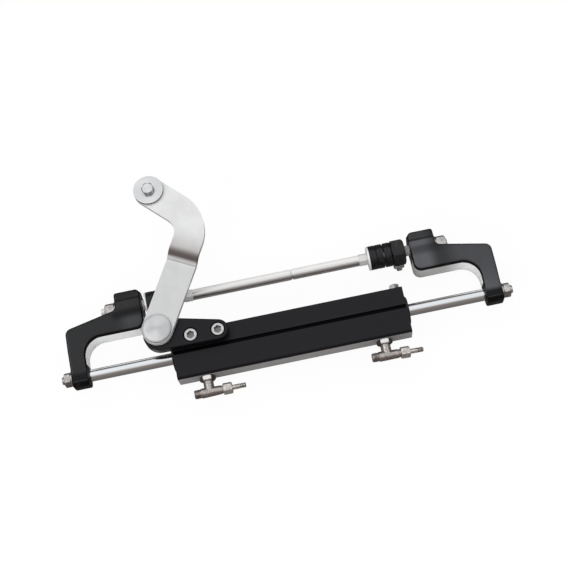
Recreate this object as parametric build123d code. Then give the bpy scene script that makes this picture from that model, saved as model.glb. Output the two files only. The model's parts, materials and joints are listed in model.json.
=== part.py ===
from build123d import *
import math
import os

# Hydraulic steering cylinder for an outboard motor, in millimetres.
# X runs along the rods, Y from the piston rod to the tilt rod, Z is up.
# The origin is on the tilt rod's axis, half way between the two arms.

# Layout
rod_offset = 90.0
body_offset = 5.0
running_gap = 0.05
loose_gap = 0.2
face_gap = 0.1
blind_gap = 1.0
cut_past = 1.0
thread_bevel = 1.0
shoulder_bevel = 0.6
washer_bevel = 0.4
hexagon_bevel_share = 0.07

# Support arms
arm_inner_x = 199.0
block_width = 38.0
arm_outer_x = 314.0
leg_width = 24.0
arm_height = 40.0
block_back = 20.5
bar_front = 39.2
bar_shoulder = 4.6
bar_slope = 12.0
inner_bend_radius = 26.0
outer_bend_radius = 10.0
block_inner_radius = 7.0
block_outer_radius = 4.0
neck_radius = 8.0
front_corner_radius = 11.0
arm_edge_radius = 4.0
tilt_boss_radius = 21.5
tilt_boss_bevel = 2.0
rod_boss_height = 31.0
rod_boss_corner = 9.0
rod_boss_bevel = 1.2
leg_tip_radius = 15.0
leg_taper_start = 52.0
leg_taper_radius = 60.0

# Tilt rod, its washers, nuts and spacers
tilt_rod_dia = 15.9
tilt_stub_dia = 14.0
tilt_joint_x = 23.5
tilt_joint_bevel = 1.6
tilt_spigot_dia = 10.0
tilt_spigot_length = 20.0
wrench_flats = 16.0
wrench_length = 13.0
wrench_end_x = 137.0
tilt_washer_dia = 26.0
tilt_washer_thick = 2.5
tilt_nut_flats = 22.0
tilt_nut_height = 14.3
nut_pocket_gap = 1.8
left_stub_past_nut = 6.5
right_stub_past_nut = 2.0
spacer_dia = 35.4
spacer_width = 10.4
spacer_washer_thick = 2.6
spacer_bevel = 0.8
spacer_play = 1.2
left_spacer_count = 3
left_spacer_gap = 5.2
adjuster_flats = 35.0
adjuster_width = 20.0
adjuster_bolt_dia = 8.0
adjuster_bolt_flats = 15.0
adjuster_bolt_head = 5.3
adjuster_bolt_reach = 7.0
adjuster_bolt_end = 3.7
adjuster_bolt_place = 8.4
adjuster_bolt_angle = 30.0

# Piston rod and piston
piston_rod_dia = 17.5
rod_stub_dia = 12.0
rod_washer_dia = 22.0
rod_washer_thick = 2.5
rod_nut_flats = 19.0
rod_nut_height = 10.0
rod_past_nut = 3.5
stroke = 200.0
piston_length = 28.0
piston_seal_width = 6.0
piston_seal_depth = 3.0
snap_ring_width = 1.4
snap_ring_height = 1.5
snap_groove_depth = 1.1
snap_ring_inset = 0.2
snap_recess_gap = 0.3
piston_bevel = 1.0
seal_bevel = 0.4

# Cylinder body
body_length = 338.0
bore_dia = 34.0
body_top = 24.0
body_back = 30.0
body_front = 38.8
flat_bottom = 7.5
belly_radius = 26.0
top_edge_radius = 5.0
small_edge_radius = 1.6
top_groove_width = 5.6
top_groove_depth = 2.6

# Glands
gland_flange_dia = 42.0
gland_flange_thick = 3.4
gland_flange_bevel = 2.0
gland_spigot_length = 30.0
gland_nose_dia = 26.0
stroke_end_gap = 0.5
rod_seal_height = 3.4
rod_seal_width = 6.0
rod_seal_depth = 8.0
wiper_width = 4.6
wiper_lip = 0.9
wiper_inset = 0.3
wiper_lip_root = 1.6
wiper_lip_tip = 0.7
o_ring_section = 2.4
o_ring_depth = 22.0
o_ring_slack = 0.6
o_ring_sides = 8
spanner_hole_dia = 4.0
spanner_hole_depth = 3.0
spanner_circle_dia = 33.0
lock_screw_inset = 9.5
lock_screw_dia = 8.0
lock_screw_flats = 13.0
lock_screw_head = 7.5
lock_screw_collar_dia = 17.0
lock_screw_collar = 1.5
lock_tip_bevel = 2.0
lock_tip_gap = 0.4
lock_groove_depth = 2.5
lock_groove_gap = 1.0

# Oil ports and tees
port_inset = 41.0
port_height = 8.0
port_thread_dia = 13.0
port_thread_depth = 12.0
port_passage_dia = 6.0
adapter_flats = 20.0
adapter_height = 7.0
adapter_nose_dia = 9.0
adapter_nose_length = 5.0
tee_stem_dia = 14.4
tee_reach = 23.0
tee_run_dia = 14.2
tee_bevel = 0.8
tee_hose_side = 22.0
tee_bleed_side = 18.8
right_tee_lift = 5.5
tee_thread_dia = 13.4
tee_thread_length = 9.0
tee_bore_dia = 7.0
tee_neck_dia = 11.6
tee_neck_length = 2.0
tee_neck_slope = 1.2
bleed_spigot_dia = 9.0
bleed_spigot_length = 8.0
bleed_flats = 15.0
bleed_hex_length = 13.5
nipple_dia = 7.0
nipple_length = 10.2
barb_dia = 7.8
barb_count = 4
barb_pitch = 2.3
barb_depth = 1.1
barb_edge = 0.2
bleed_hole_dia = 2.5

# Lug plate, its screws and the pivot pin
lug_thick = 16.0
pivot_overhang = 14.0
pivot_offset = 32.5
lug_big_radius = 24.0
lug_big_inset = 1.6
lug_big_forward = 4.5
lug_small_radius = 14.6
lug_screw_inset = 69.6
lug_screw_offset = 17.6
lug_screw_pitch = 39.2
lug_edge_radius = 1.5
lug_screw_dia = 12.0
lug_screw_head_dia = 18.0
lug_screw_head = 10.0
lug_screw_sink = 0.5
lug_counterbore_gap = 1.5
lug_screw_engagement = 9.0
socket_flats = 10.0
socket_depth = 6.0
pin_thread_dia = 14.0
pin_dia = 16.0
pin_head_dia = 42.0
pin_head_edge = 1.8
pin_head_rise = 3.2
pin_head_rim = 1.6
pin_head_bevel = 0.4
thrust_washer_dia = 34.0
thrust_washer_thick = 1.0

# Link arm and tiller bolt
bar_width = 44.0
bar_thick = 8.0
link_lower_angle = 61.3
link_lower_length = 169.3
link_upper_angle = 134.9
link_upper_length = 84.9
elbow_radius = 46.0
joggle_start = 103.0
joggle_rise = 10.0
joggle_angle = 38.0
joggle_low_radius = 6.0
joggle_high_radius = 18.0
pivot_bush_wall = 2.5
tiller_bolt_dia = 10.0
tiller_bush_wall = 3.0
tiller_flange_dia = 26.0
tiller_flange_thick = 1.5
tiller_washer_dia = 44.0
tiller_washer_thick = 3.5
tiller_head_flats = 16.0
tiller_head_height = 6.4
tiller_grip = 18.0
tiller_low_washer_dia = 20.0
tiller_low_washer_thick = 2.0
tiller_nut_height = 10.0
tiller_nut_collar = 2.5
tiller_collar_step = 0.5
tiller_past_nut = 3.0

# Places worked out from the sizes above
axis_y = -rod_offset
body_left = body_offset - body_length / 2
body_right = body_offset + body_length / 2
front_face_y = axis_y - body_front
back_face_y = axis_y + body_back
tilt_nut_end_x = arm_inner_x + block_width + tilt_washer_thick + tilt_nut_height
tilt_left_end_x = -tilt_nut_end_x - left_stub_past_nut
tilt_right_end_x = tilt_nut_end_x + right_stub_past_nut
rod_end_x = arm_outer_x + rod_washer_thick + rod_nut_height + rod_past_nut
rod_shoulder_x = arm_outer_x - leg_width
gland_depth = body_length / 2 - stroke / 2 - piston_length / 2 - stroke_end_gap
lug_top = body_top + lug_thick
link_low = lug_top + thrust_washer_thick
link_low_top = link_low + bar_thick
link_high = link_low + joggle_rise
link_high_top = link_high + bar_thick
lower_dir = Vector(1, 0, 0).rotate(Axis.Z, link_lower_angle)
upper_dir = Vector(1, 0, 0).rotate(Axis.Z, link_upper_angle)
pivot_x = body_left - pivot_overhang
pivot_y = axis_y + pivot_offset
lug_screw_x = body_left + lug_screw_inset
lug_screw_y = axis_y + lug_screw_offset
elbow = Vector(pivot_x, pivot_y, 0) + lower_dir * link_lower_length
tiller = elbow + upper_dir * link_upper_length
port_places = (body_left + port_inset, body_right - port_inset)
lug_screw_places = (lug_screw_x - lug_screw_pitch, lug_screw_x)
lock_screw_places = (body_left + lock_screw_inset, body_right - lock_screw_inset)


def turned(points, origin=(0, 0, 0), direction=(0, 0, 1)):
    """Turn a closed outline of (radius, height) points about an axis."""
    outline = make_face(Plane.XZ * Polyline(*points, close=True))
    return Plane(origin=origin, z_dir=direction).location * revolve(outline, Axis.Z)


def turned_x(points, y=0.0, z=0.0):
    """Turn an outline of (radius, x) points about a line along X."""
    return turned(points, (0, y, z), (1, 0, 0))


def rod(radius, start, end, bevel):
    """Outline of a plain round bar from start to end, bevelled at both ends."""
    return [(0, start), (radius - bevel, start), (radius, start + bevel),
            (radius, end - bevel), (radius - bevel, end), (0, end)]


def ring(outer, inner, start, end, bevel=washer_bevel):
    """Outline of a washer or sleeve with its outer corners bevelled."""
    return [(inner, start), (outer - bevel, start), (outer, start + bevel),
            (outer, end - bevel), (outer - bevel, end), (inner, end)]


def straight(outer, start, end, inner=0.0):
    """Outline of a plain hole or sleeve with square ends."""
    return [(inner, start), (outer, start), (outer, end), (inner, end)]


def hexagon(flats, height, origin, direction, x_dir, bore=0.0):
    """Hexagon bar with both ends turned to a cone, and an optional bore."""
    corner = flats / math.sqrt(3)
    bevel = hexagon_bevel_share * flats
    drop = bevel * math.tan(math.radians(30))
    prism = extrude(RegularPolygon(flats / 2, 6, major_radius=False), height)
    cone = turned([(bore / 2, 0), (corner - bevel, 0), (corner, drop),
                   (corner, height - drop), (corner - bevel, height), (bore / 2, height)])
    return Plane(origin=origin, x_dir=x_dir, z_dir=direction).location * (prism & cone)


def rounded_outline(corners):
    """Closed outline through (x, y, radius) corners, each rounded by its radius."""
    face = make_face(Polyline(*[(x, y) for x, y, _ in corners], close=True))
    for x, y, radius in corners:
        if radius > 0:
            corner = face.vertices().sort_by_distance((x, y, 0))[0]
            face = fillet(corner, radius)
    return face


def tangent_point(x, y, radius, side):
    """Point where a line from (x, y) touches a circle about the origin."""
    distance = math.hypot(x, y)
    angle = math.atan2(y, x) + side * math.acos(radius / distance)
    return radius * math.cos(angle), radius * math.sin(angle)


def on_both_sides(right_piece):
    """The same piece on the right and mirrored on the left, as one group."""
    return Compound([*right_piece.solids(), *mirror(right_piece, Plane.YZ).solids()])


def arm_outline():
    """Plan of the right arm: tilt block, sloping bar, round inner bend and leg."""
    block_outer = arm_inner_x + block_width
    slope = math.tan(math.radians(bar_slope))
    corner_y = -bar_shoulder - slope * (arm_outer_x - block_outer)
    past_tip = axis_y - rod_boss_height / 2 - cut_past
    return rounded_outline([
        (arm_inner_x, block_back, block_inner_radius),
        (block_outer, block_back, block_outer_radius),
        (block_outer, -bar_shoulder, neck_radius),
        (arm_outer_x, corner_y, outer_bend_radius),
        (arm_outer_x, past_tip, 0.0),
        (rod_shoulder_x, past_tip, 0.0),
        (rod_shoulder_x, -bar_front, inner_bend_radius),
        (arm_inner_x, -bar_front, front_corner_radius),
    ])


def arm_side_view():
    """Arm seen along X: full height at the bar, then a taper to the leg's round tip."""
    half = arm_height / 2
    touch_y, touch_z = tangent_point(-leg_taper_start - axis_y, half, leg_tip_radius, 1)
    bar = rounded_outline([
        (block_back + cut_past, half, 0.0),
        (-leg_taper_start, half, leg_taper_radius),
        (axis_y + touch_y, touch_z, 0.0),
        (axis_y + touch_y, -touch_z, 0.0),
        (-leg_taper_start, -half, leg_taper_radius),
        (block_back + cut_past, -half, 0.0),
    ])
    return bar + Pos(axis_y, 0) * Circle(leg_tip_radius)


def on_arm_rim(edge):
    """True for the edges round the arm's top and bottom, which the casting rounds off."""
    along = edge.tangent_at(0.5)
    crosses_leg = abs(along.X) > 0.999 and edge.center().Y < -bar_front - cut_past
    return abs(along.Z) < 0.999 and not crosses_leg


def right_arm():
    """Cast arm with a bored tilt block at one end and a bored rod boss at the other."""
    block_outer = arm_inner_x + block_width
    side_plane = Plane(origin=(arm_inner_x - cut_past, 0, 0), x_dir=(0, 1, 0), z_dir=(1, 0, 0))
    plan = extrude(arm_outline(), amount=arm_height / 2 + cut_past, both=True)
    side = extrude(side_plane * arm_side_view(), amount=arm_outer_x - arm_inner_x + 2 * cut_past)
    arm = plan & side
    arm = fillet(arm.edges().filter_by(on_arm_rim), arm_edge_radius)
    arm += turned_x(rod(tilt_boss_radius, arm_inner_x, block_outer, tilt_boss_bevel))
    boss_plane = Plane(origin=(rod_shoulder_x, axis_y, 0), x_dir=(0, 1, 0), z_dir=(1, 0, 0))
    boss_face = RectangleRounded(rod_boss_height, rod_boss_height, rod_boss_corner)
    boss = extrude(boss_plane * boss_face, amount=leg_width)
    ends = boss.faces().sort_by(Axis.X)
    arm += chamfer(ends[0].edges() + ends[-1].edges(), rod_boss_bevel)
    arm -= turned_x(straight(tilt_stub_dia / 2, arm_inner_x - cut_past, block_outer + cut_past))
    pocket = tilt_nut_flats / math.sqrt(3) + nut_pocket_gap
    arm -= turned_x(straight(pocket, block_outer, arm_outer_x))
    arm -= turned_x(straight(rod_stub_dia / 2, rod_shoulder_x - cut_past, arm_outer_x + cut_past),
                    axis_y)
    return arm


def tilt_rod_left():
    """Long half of the tilt rod: threaded stub, hexagon for a wrench, joining spigot."""
    stub = tilt_stub_dia / 2
    full = tilt_rod_dia / 2
    spigot = tilt_spigot_dia / 2
    shaft = turned_x([
        (0, tilt_left_end_x), (stub - thread_bevel, tilt_left_end_x),
        (stub, tilt_left_end_x + thread_bevel),
        (stub, -arm_inner_x), (full - shoulder_bevel, -arm_inner_x),
        (full, shoulder_bevel - arm_inner_x),
        (full, tilt_joint_x - tilt_joint_bevel), (full - tilt_joint_bevel, tilt_joint_x),
        (spigot, tilt_joint_x), (spigot, tilt_joint_x + tilt_spigot_length),
        (0, tilt_joint_x + tilt_spigot_length)])
    return shaft + hexagon(wrench_flats, wrench_length, (-wrench_end_x, 0, 0), (1, 0, 0), (0, 1, 0))


def tilt_rod_right():
    """Short half of the tilt rod, with the hole that takes the other half's spigot."""
    stub = tilt_stub_dia / 2
    full = tilt_rod_dia / 2
    hole = tilt_spigot_dia / 2 + running_gap
    hole_end = tilt_joint_x + tilt_spigot_length + blind_gap
    shaft = turned_x([
        (hole, tilt_joint_x), (full - tilt_joint_bevel, tilt_joint_x),
        (full, tilt_joint_x + tilt_joint_bevel), (full, arm_inner_x - shoulder_bevel),
        (full - shoulder_bevel, arm_inner_x), (stub, arm_inner_x),
        (stub, tilt_right_end_x - thread_bevel), (stub - thread_bevel, tilt_right_end_x),
        (0, tilt_right_end_x), (0, hole_end), (hole, hole_end)])
    return shaft + hexagon(wrench_flats, wrench_length, (wrench_end_x - wrench_length, 0, 0),
                           (1, 0, 0), (0, 1, 0))


def tilt_end_washers():
    """Plain washers between the tilt blocks and their nuts."""
    start = arm_inner_x + block_width
    return on_both_sides(turned_x(ring(
        tilt_washer_dia / 2, tilt_stub_dia / 2, start, start + tilt_washer_thick)))


def tilt_end_nuts():
    """Nuts on the tilt rod's threaded ends."""
    start = arm_inner_x + block_width + tilt_washer_thick
    return on_both_sides(hexagon(tilt_nut_flats, tilt_nut_height, (start, 0, 0),
                                 (1, 0, 0), (0, 1, 0), tilt_stub_dia))


def rod_end_washers():
    """Plain washers between the rod bosses and their nuts."""
    return on_both_sides(turned_x(ring(
        rod_washer_dia / 2, rod_stub_dia / 2, arm_outer_x, arm_outer_x + rod_washer_thick), axis_y))


def rod_end_nuts():
    """Nuts on the piston rod's threaded ends."""
    return on_both_sides(hexagon(rod_nut_flats, rod_nut_height,
                                 (arm_outer_x + rod_washer_thick, axis_y, 0),
                                 (1, 0, 0), (0, 1, 0), rod_stub_dia))


def spacer(start, width):
    """One ring on the tilt rod from start, loose enough to slide."""
    return turned_x(ring(spacer_dia / 2, tilt_rod_dia / 2 + loose_gap, start, start + width,
                         spacer_bevel))


def left_spacers():
    """The left stack: washer, black rings, washer. Returns washers and rings."""
    start = -arm_inner_x + left_spacer_gap
    washers = [spacer(start, spacer_washer_thick)]
    start += spacer_washer_thick
    rings = []
    for _ in range(left_spacer_count):
        rings.append(spacer(start + face_gap, spacer_width - face_gap))
        start += spacer_width
    washers.append(spacer(start + face_gap, spacer_washer_thick - face_gap))
    return Compound(washers), Compound(rings)


right_washer_start = wrench_end_x + face_gap
first_ring_start = right_washer_start + spacer_washer_thick - face_gap
second_ring_start = first_ring_start + spacer_width
third_ring_start = second_ring_start + spacer_width + spacer_play
adjuster_start = third_ring_start + spacer_width
lock_bolt_x = adjuster_start + adjuster_bolt_place
lock_bolt_direction = Vector(0, -1, 0).rotate(Axis.X, adjuster_bolt_angle)


def right_sliding_rings():
    """The two black rings next to the right washer, free to slide by the play."""
    return Compound([spacer(first_ring_start + face_gap, spacer_width - face_gap),
                     spacer(second_ring_start + face_gap, spacer_width - face_gap)])


def adjusting_nut():
    """Large black nut that takes up the play, with a tapped hole for its lock screw."""
    nut = hexagon(adjuster_flats, adjuster_width - face_gap, (adjuster_start + face_gap, 0, 0),
                  (1, 0, 0), (0, 1, 0), tilt_rod_dia + 2 * running_gap)
    hole = turned(straight(adjuster_bolt_dia / 2, adjuster_flats / 2 - adjuster_bolt_reach,
                           adjuster_flats / 2 + cut_past), (lock_bolt_x, 0, 0), lock_bolt_direction)
    return nut - hole


def adjusting_nut_bolt():
    """Screw that locks the adjusting nut: shank, hexagon and a short round end."""
    seat = adjuster_flats / 2
    tip = seat - adjuster_bolt_reach + blind_gap
    end = seat + adjuster_bolt_head + adjuster_bolt_end
    shank = turned(rod(adjuster_bolt_dia / 2, tip, end, thread_bevel),
                   (lock_bolt_x, 0, 0), lock_bolt_direction)
    head = hexagon(adjuster_bolt_flats, adjuster_bolt_head,
                   Vector(lock_bolt_x, 0, 0) + lock_bolt_direction * seat,
                   lock_bolt_direction, (1, 0, 0))
    return shank + head


def piston_rod():
    """Ground rod with threaded ends and two grooves that hold the piston."""
    stub = rod_stub_dia / 2
    full = piston_rod_dia / 2
    groove = full - snap_groove_depth
    groove_out = piston_length / 2 - snap_ring_inset
    groove_in = groove_out - snap_ring_width
    right_half = [
        (full, groove_in), (groove, groove_in), (groove, groove_out), (full, groove_out),
        (full, rod_shoulder_x - shoulder_bevel), (full - shoulder_bevel, rod_shoulder_x),
        (stub, rod_shoulder_x), (stub, rod_end_x - thread_bevel), (stub - thread_bevel, rod_end_x),
        (0, rod_end_x)]
    left_half = [(radius, -x) for radius, x in reversed(right_half)]
    return turned_x(left_half + right_half, axis_y)


def piston():
    """Piston with a seal groove round it and a recess in each face for its snap ring."""
    outer = bore_dia / 2 - 2 * running_gap
    inner = piston_rod_dia / 2
    end = piston_length / 2
    recess = inner + snap_ring_height + snap_recess_gap
    recess_floor = end - snap_ring_inset - snap_ring_width
    seal = piston_seal_width / 2
    floor = outer - piston_seal_depth
    half = [(floor, seal), (outer, seal), (outer, end - piston_bevel), (outer - piston_bevel, end),
            (recess, end), (recess, recess_floor), (inner, recess_floor)]
    mirrored = [(radius, -x) for radius, x in reversed(half)]
    return turned_x(mirrored + half, axis_y)


def piston_seal():
    """Seal ring in the piston's groove."""
    outer = bore_dia / 2 - running_gap
    inner = bore_dia / 2 - 2 * running_gap - piston_seal_depth
    half = piston_seal_width / 2
    return turned_x(ring(outer, inner, -half, half, seal_bevel), axis_y)


def snap_rings():
    """Rings in the rod's grooves that hold the piston from both sides."""
    inner = piston_rod_dia / 2 - snap_groove_depth
    outer = piston_rod_dia / 2 + snap_ring_height
    end = piston_length / 2 - snap_ring_inset
    return on_both_sides(turned_x(straight(outer, end - snap_ring_width, end, inner), axis_y))


def body_section():
    """Extruded section: flat top with a groove, wide port side, round belly."""
    back_x, back_y = tangent_point(body_back, -flat_bottom, belly_radius, -1)
    front_x, front_y = tangent_point(-body_front, -flat_bottom, belly_radius, 1)
    block = rounded_outline([
        (body_back, body_top, small_edge_radius),
        (-body_front, body_top, top_edge_radius),
        (-body_front, -flat_bottom, small_edge_radius),
        (front_x, front_y, 0.0),
        (back_x, back_y, 0.0),
        (body_back, -flat_bottom, small_edge_radius),
    ])
    lower_half = Pos(0, -belly_radius) * Rectangle(2 * belly_radius, 2 * belly_radius)
    belly = Circle(belly_radius) & lower_half
    section = block + belly
    groove = Pos(0, body_top) * Rectangle(top_groove_width, 2 * top_groove_depth)
    return section - Circle(bore_dia / 2) - groove


def cylinder_body():
    """Body bored right through, with ports, lug screw holes and lock screw holes."""
    end_plane = Plane(origin=(body_left, axis_y, 0), x_dir=(0, 1, 0), z_dir=(1, 0, 0))
    body = extrude(end_plane * body_section(), amount=body_length)
    inside_bore = bore_dia / 4
    for x in port_places:
        mouth = (x, front_face_y, port_height)
        body -= turned(straight(port_thread_dia / 2, -cut_past, port_thread_depth), mouth, (0, 1, 0))
        body -= turned(straight(port_passage_dia / 2, 0, body_front - inside_bore), mouth, (0, 1, 0))
    for x in lug_screw_places:
        body -= turned(straight(lug_screw_dia / 2, -cut_past, lug_screw_engagement + blind_gap),
                       (x, lug_screw_y, body_top), (0, 0, -1))
    for x in lock_screw_places:
        body -= turned(straight(lock_screw_dia / 2, -cut_past, body_back - inside_bore),
                       (x, back_face_y, port_height), (0, -1, 0))
    return body


def gland(face_x, outward):
    """Gland screwed into one end: flange, spigot, nose, seal groove and wiper recess."""
    rod_hole = piston_rod_dia / 2 + running_gap
    seal = rod_hole + rod_seal_height
    flange = gland_flange_dia / 2
    spigot = bore_dia / 2 - running_gap
    ring_floor = bore_dia / 2 - o_ring_section - 2 * running_gap
    ring_end = o_ring_depth + o_ring_section + o_ring_slack
    nose = gland_nose_dia / 2
    wiper_floor = gland_flange_thick - wiper_width
    seal_end = rod_seal_depth + rod_seal_width
    lock_floor = spigot - lock_groove_depth
    groove_half = lock_screw_dia / 2 + lock_groove_gap
    floor_half = groove_half - lock_tip_bevel
    outline = [
        (seal, wiper_floor), (seal, gland_flange_thick),
        (flange - gland_flange_bevel, gland_flange_thick),
        (flange, gland_flange_thick - gland_flange_bevel), (flange, 0), (spigot, 0),
        (spigot, groove_half - lock_screw_inset), (lock_floor, floor_half - lock_screw_inset),
        (lock_floor, -floor_half - lock_screw_inset), (spigot, -groove_half - lock_screw_inset),
        (spigot, -o_ring_depth), (ring_floor, -o_ring_depth), (ring_floor, -ring_end),
        (spigot, -ring_end), (spigot, shoulder_bevel - gland_spigot_length),
        (spigot - shoulder_bevel, -gland_spigot_length), (nose, -gland_spigot_length),
        (nose, shoulder_bevel - gland_depth), (nose - shoulder_bevel, -gland_depth),
        (rod_hole, -gland_depth), (rod_hole, -seal_end), (seal, -seal_end),
        (seal, -rod_seal_depth), (rod_hole, -rod_seal_depth), (rod_hole, wiper_floor)]
    body = turned(outline, (face_x, axis_y, 0), (outward, 0, 0))
    for angle in (45, 225):
        y = axis_y + spanner_circle_dia / 2 * math.cos(math.radians(angle))
        z = spanner_circle_dia / 2 * math.sin(math.radians(angle))
        body -= turned(straight(spanner_hole_dia / 2, gland_flange_thick - spanner_hole_depth,
                                gland_flange_thick + cut_past), (face_x, y, z), (outward, 0, 0))
    return body


def at_both_ends(points):
    """Turn one outline at the body's left and right end, each facing outwards."""
    left = turned(points, (body_left, axis_y, 0), (-1, 0, 0))
    right = turned(points, (body_right, axis_y, 0), (1, 0, 0))
    return Compound([*left.solids(), *right.solids()])


def rod_seals():
    """Seals inside the glands, just clear of the rod."""
    inner = piston_rod_dia / 2 + running_gap
    return at_both_ends(ring(inner + rod_seal_height, inner,
                             -rod_seal_depth - rod_seal_width, -rod_seal_depth, seal_bevel))


def rod_wipers():
    """Wipers in the gland faces, with a lip that leans out along the rod."""
    inner = piston_rod_dia / 2 + running_gap
    outer = inner + rod_seal_height
    floor = gland_flange_thick - wiper_width
    face = gland_flange_thick - wiper_inset
    lip = gland_flange_thick + wiper_lip
    return at_both_ends([(inner, floor), (outer, floor), (outer, face), (inner + wiper_lip_root, face),
                         (inner + wiper_lip_tip, lip), (inner, lip)])


def gland_o_rings():
    """Rubber rings that seal the glands in the bore, with a many-sided section."""
    centre = bore_dia / 2 - o_ring_section / 2 - running_gap
    middle = o_ring_depth + o_ring_section / 2 + o_ring_slack / 2
    section = Pos(centre, -middle) * RegularPolygon(o_ring_section / 2, o_ring_sides)
    return at_both_ends([(corner.X, corner.Y) for corner in section.vertices()])


def gland_lock_screws():
    """Hexagon screws through the body's back wall into the glands' grooves."""
    radius = lock_screw_dia / 2
    collar = lock_screw_collar_dia / 2
    groove_floor = bore_dia / 2 - running_gap - lock_groove_depth
    tip_edge = port_height - radius + lock_tip_bevel
    tip_depth = body_back - math.sqrt((groove_floor + lock_tip_gap) ** 2 - tip_edge ** 2)
    screws = []
    for x in lock_screw_places:
        seat = (x, back_face_y, port_height)
        screw = turned([(0, -tip_depth), (radius - lock_tip_bevel, -tip_depth),
                        (radius, lock_tip_bevel - tip_depth), (radius, 0), (collar, 0),
                        (collar, lock_screw_collar - shoulder_bevel),
                        (collar - shoulder_bevel, lock_screw_collar), (0, lock_screw_collar)],
                       seat, (0, 1, 0))
        head_seat = (x, back_face_y + lock_screw_collar, port_height)
        screws.append(screw + hexagon(lock_screw_flats, lock_screw_head, head_seat,
                                      (0, 1, 0), (1, 0, 0)))
    return Compound([solid for screw in screws for solid in screw.solids()])


def port_adapters():
    """Hexagon adapters screwed into the two oil ports."""
    nose_end = adapter_height + adapter_nose_length
    adapters = []
    for x in port_places:
        mouth = (x, front_face_y, port_height)
        spigot = turned(straight(port_thread_dia / 2, blind_gap - port_thread_depth, 0), mouth, (0, -1, 0))
        nose = turned(straight(adapter_nose_dia / 2, 0, nose_end), mouth, (0, -1, 0))
        hole = turned(straight(port_passage_dia / 2, -port_thread_depth, nose_end + cut_past),
                      mouth, (0, -1, 0))
        body = hexagon(adapter_flats, adapter_height, mouth, (0, -1, 0), (1, 0, 0))
        adapters.append(body + spigot + nose - hole)
    return Compound([solid for adapter in adapters for solid in adapter.solids()])


def tee(x):
    """Forged tee: stem on the adapter, threaded hose end, and a seat for the bleed screw."""
    run_y = front_face_y - tee_reach
    start = x - tee_hose_side
    end = x + tee_bleed_side
    run = tee_run_dia / 2
    thread = tee_thread_dia / 2
    neck = tee_neck_dia / 2
    mouth = (x, front_face_y, port_height)
    body = turned_x([
        (0, start), (thread - tee_bevel, start), (thread, start + tee_bevel),
        (thread, start + tee_thread_length), (run, start + tee_thread_length + tee_bevel),
        (run, end - tee_neck_length - tee_neck_slope), (neck, end - tee_neck_length), (neck, end),
        (0, end)], run_y, port_height)
    body += turned(rod(tee_stem_dia / 2, adapter_height, tee_reach, tee_bevel), mouth, (0, -1, 0))
    body -= turned(straight(adapter_nose_dia / 2, adapter_height - cut_past,
                            adapter_height + adapter_nose_length + loose_gap), mouth, (0, -1, 0))
    body -= turned(straight(port_passage_dia / 2, adapter_height, tee_reach), mouth, (0, -1, 0))
    body -= turned_x(straight(tee_bore_dia / 2, start - cut_past, start + tee_thread_length),
                     run_y, port_height)
    body -= turned_x(straight(port_passage_dia / 2, start, end - bleed_spigot_length),
                     run_y, port_height)
    body -= turned_x(straight(bleed_spigot_dia / 2 + running_gap,
                              end - bleed_spigot_length - blind_gap, end + cut_past),
                     run_y, port_height)
    return body


def lifted(piece):
    """A fitting of the right port turned on its stem, so that its hose clears the left fitting."""
    stem = Pos(port_places[1], 0, port_height)
    return stem * Rot(0, right_tee_lift, 0) * stem.inverse() * piece


def bleed_screw(x):
    """Bleed screw: spigot in the tee, hexagon, nipple and barbed end for a bleed hose."""
    run_y = front_face_y - tee_reach
    start = x + tee_bleed_side + face_gap
    hex_end = start + bleed_hex_length
    barb_start = hex_end + nipple_length
    spigot = bleed_spigot_dia / 2
    inside_hex = start + bleed_hex_length / 2
    points = [(0, start - bleed_spigot_length), (spigot, start - bleed_spigot_length),
              (spigot, inside_hex), (nipple_dia / 2, inside_hex), (nipple_dia / 2, barb_start)]
    for step in range(barb_count):
        foot = barb_start + step * barb_pitch
        points += [(barb_dia / 2, foot + barb_edge), (barb_dia / 2 - barb_depth, foot + barb_pitch)]
    barb_end = barb_start + barb_count * barb_pitch
    points += [(0, barb_end)]
    body = turned_x(points, run_y, port_height)
    body += hexagon(bleed_flats, bleed_hex_length, (start, run_y, port_height),
                    (1, 0, 0), (0, 1, 0))
    return body - turned_x(straight(bleed_hole_dia / 2, start, barb_end + cut_past), run_y, port_height)


def lug_plate():
    """Tapered plate on the body's back strip that carries the link arm past its end."""
    big = Pos(pivot_x + lug_big_inset, pivot_y - lug_big_forward) * Circle(lug_big_radius)
    small = Pos(lug_screw_x, lug_screw_y) * Circle(lug_small_radius)
    plate = extrude(Pos(0, 0, body_top) * make_hull(big.edges() + small.edges()), lug_thick)
    plate = fillet(plate.edges().group_by(Axis.Z)[-1], lug_edge_radius)
    plate -= turned(straight(pin_thread_dia / 2, -cut_past, lug_thick + cut_past),
                    (pivot_x, pivot_y, body_top))
    counterbore = lug_screw_head_dia / 2 + lug_counterbore_gap
    for x in lug_screw_places:
        foot = (x, lug_screw_y, body_top)
        plate -= turned(straight(lug_screw_dia / 2, -cut_past, lug_thick), foot)
        plate -= turned(straight(counterbore, lug_thick - lug_screw_head - lug_screw_sink,
                                 lug_thick + cut_past), foot)
    return plate


def lug_screws():
    """Two socket-head screws that hold the lug plate on the body."""
    head_top = lug_top - lug_screw_sink
    seat_z = head_top - lug_screw_head
    radius = lug_screw_dia / 2
    head = lug_screw_head_dia / 2
    tip = body_top - lug_screw_engagement
    screws = []
    for x in lug_screw_places:
        screw = turned([
            (0, tip), (radius - thread_bevel, tip), (radius, tip + thread_bevel), (radius, seat_z),
            (head, seat_z), (head, head_top - shoulder_bevel), (head - shoulder_bevel, head_top),
            (0, head_top)], (x, lug_screw_y, 0))
        socket = Pos(x, lug_screw_y, head_top - socket_depth) * extrude(
            RegularPolygon(socket_flats / 2, 6, major_radius=False), socket_depth + cut_past)
        screws.append(screw - socket)
    return Compound([solid for screw in screws for solid in screw.solids()])


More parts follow.
